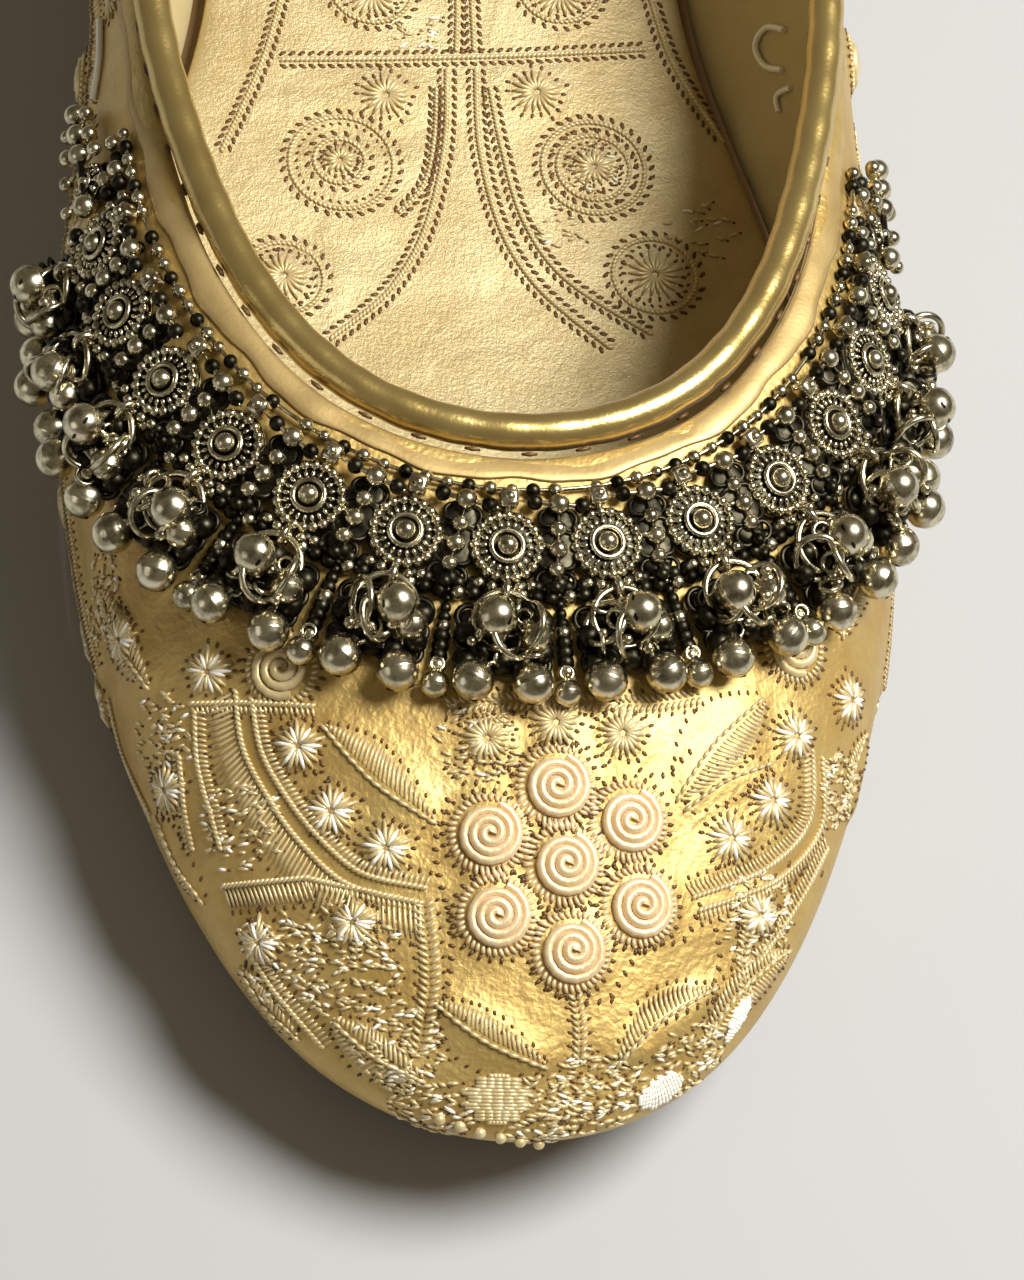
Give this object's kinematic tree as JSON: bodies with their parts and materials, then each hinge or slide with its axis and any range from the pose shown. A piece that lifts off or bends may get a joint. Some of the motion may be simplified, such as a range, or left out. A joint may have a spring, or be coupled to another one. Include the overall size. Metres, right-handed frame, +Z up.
{
  "type": "mojari shoe",
  "caption": "Flat slip-on mojari shoe in gold embroidered leather, with a rolled collar and swinging bells round the throat.",
  "frame": {"origin": "on the ground, under the middle of the whole shoe", "axes": "+Z up, the toe towards -Y, the heel towards +Y, +X to the right when looking from the toe to the heel"},
  "size_m": [0.1022, 0.2493, 0.0626],
  "materials": {
    "gold_leather": "metallic gold leather, machine embroidered in gold thread",
    "foil_leather": "pale gold foil leather, machine embroidered",
    "satin_piping": "stuffed gold satin roll",
    "sole_leather": "vegetable tanned, smooth",
    "silver_trim": "cast silver-tone metal with dark recesses",
    "embroidery_thread": "metallic gold embroidery thread",
    "woven_lining": "plain woven lining"
  },
  "bodies": {
    "shoe": {"outsole": "sole_leather", "heel_lift": "sole_leather", "insole": "foil_leather", "upper": "gold_leather", "collar_piping": "satin_piping", "trim_link_01": "silver_trim", "trim_link_02": "silver_trim", "trim_link_03": "silver_trim", "trim_link_04": "silver_trim", "trim_link_05": "silver_trim", "trim_link_06": "silver_trim", "trim_link_07": "silver_trim", "trim_link_08": "silver_trim", "trim_link_09": "silver_trim", "trim_link_10": "silver_trim", "trim_link_11": "silver_trim", "trim_link_12": "silver_trim", "trim_link_13": "silver_trim", "trim_end_left": "silver_trim", "trim_end_right": "silver_trim"},
    "tassel_01": {"bell_tassel_01": "silver_trim"},
    "tassel_02": {"bell_tassel_02": "silver_trim"},
    "tassel_03": {"bell_tassel_03": "silver_trim"},
    "tassel_04": {"bell_tassel_04": "silver_trim"},
    "tassel_05": {"bell_tassel_05": "silver_trim"},
    "tassel_06": {"bell_tassel_06": "silver_trim"},
    "tassel_07": {"bell_tassel_07": "silver_trim"},
    "tassel_08": {"bell_tassel_08": "silver_trim"},
    "tassel_09": {"bell_tassel_09": "silver_trim"},
    "tassel_10": {"bell_tassel_10": "silver_trim"},
    "tassel_11": {"bell_tassel_11": "silver_trim"},
    "tassel_12": {"bell_tassel_12": "silver_trim"},
    "tassel_13": {"bell_tassel_13": "silver_trim"}
  },
  "joints": [
    {"name": "tassel_swing_01", "type": "hinge", "parent": "shoe", "child": "tassel_01", "pos_m": [-0.04576, -0.02952, 0.02956], "axis": [-0.0984, 0.9752, -0.1983], "range_deg": [0, 95]},
    {"name": "tassel_swing_02", "type": "hinge", "parent": "shoe", "child": "tassel_02", "pos_m": [-0.04414, -0.04035, 0.03238], "axis": [-0.2942, 0.9377, -0.1851], "range_deg": [0, 95]},
    {"name": "tassel_swing_03", "type": "hinge", "parent": "shoe", "child": "tassel_03", "pos_m": [-0.04009, -0.05052, 0.03493], "axis": [-0.4669, 0.8756, -0.1234], "range_deg": [0, 95]},
    {"name": "tassel_swing_04", "type": "hinge", "parent": "shoe", "child": "tassel_04", "pos_m": [-0.03355, -0.05999, 0.03693], "axis": [-0.6692, 0.7366, -0.0976], "range_deg": [0, 95]},
    {"name": "tassel_swing_05", "type": "hinge", "parent": "shoe", "child": "tassel_05", "pos_m": [-0.02448, -0.06751, 0.03841], "axis": [-0.8495, 0.5237, -0.0637], "range_deg": [0, 95]},
    {"name": "tassel_swing_06", "type": "hinge", "parent": "shoe", "child": "tassel_06", "pos_m": [-0.01365, -0.07221, 0.03903], "axis": [-0.9601, 0.2793, -0.0164], "range_deg": [0, 95]},
    {"name": "tassel_swing_07", "type": "hinge", "parent": "shoe", "child": "tassel_07", "pos_m": [-0.00216, -0.07408, 0.0393], "axis": [-0.9984, 0.0568, -0.0027], "range_deg": [0, 95]},
    {"name": "tassel_swing_08", "type": "hinge", "parent": "shoe", "child": "tassel_08", "pos_m": [0.00944, -0.07319, 0.03916], "axis": [-0.9827, -0.1843, 0.0175], "range_deg": [0, 95]},
    {"name": "tassel_swing_09", "type": "hinge", "parent": "shoe", "child": "tassel_09", "pos_m": [0.02067, -0.06961, 0.03874], "axis": [-0.9007, -0.4333, 0.033], "range_deg": [0, 95]},
    {"name": "tassel_swing_10", "type": "hinge", "parent": "shoe", "child": "tassel_10", "pos_m": [0.0305, -0.06302, 0.03753], "axis": [-0.7418, -0.6649, 0.0871], "range_deg": [0, 95]},
    {"name": "tassel_swing_11", "type": "hinge", "parent": "shoe", "child": "tassel_11", "pos_m": [0.038, -0.05414, 0.03573], "axis": [-0.5432, -0.8314, 0.1174], "range_deg": [0, 95]},
    {"name": "tassel_swing_12", "type": "hinge", "parent": "shoe", "child": "tassel_12", "pos_m": [0.04291, -0.04416, 0.03336], "axis": [-0.3666, -0.9174, 0.155], "range_deg": [0, 95]},
    {"name": "tassel_swing_13", "type": "hinge", "parent": "shoe", "child": "tassel_13", "pos_m": [0.04541, -0.03337, 0.03054], "axis": [-0.1418, -0.97, 0.1974], "range_deg": [0, 95]}
  ]
}
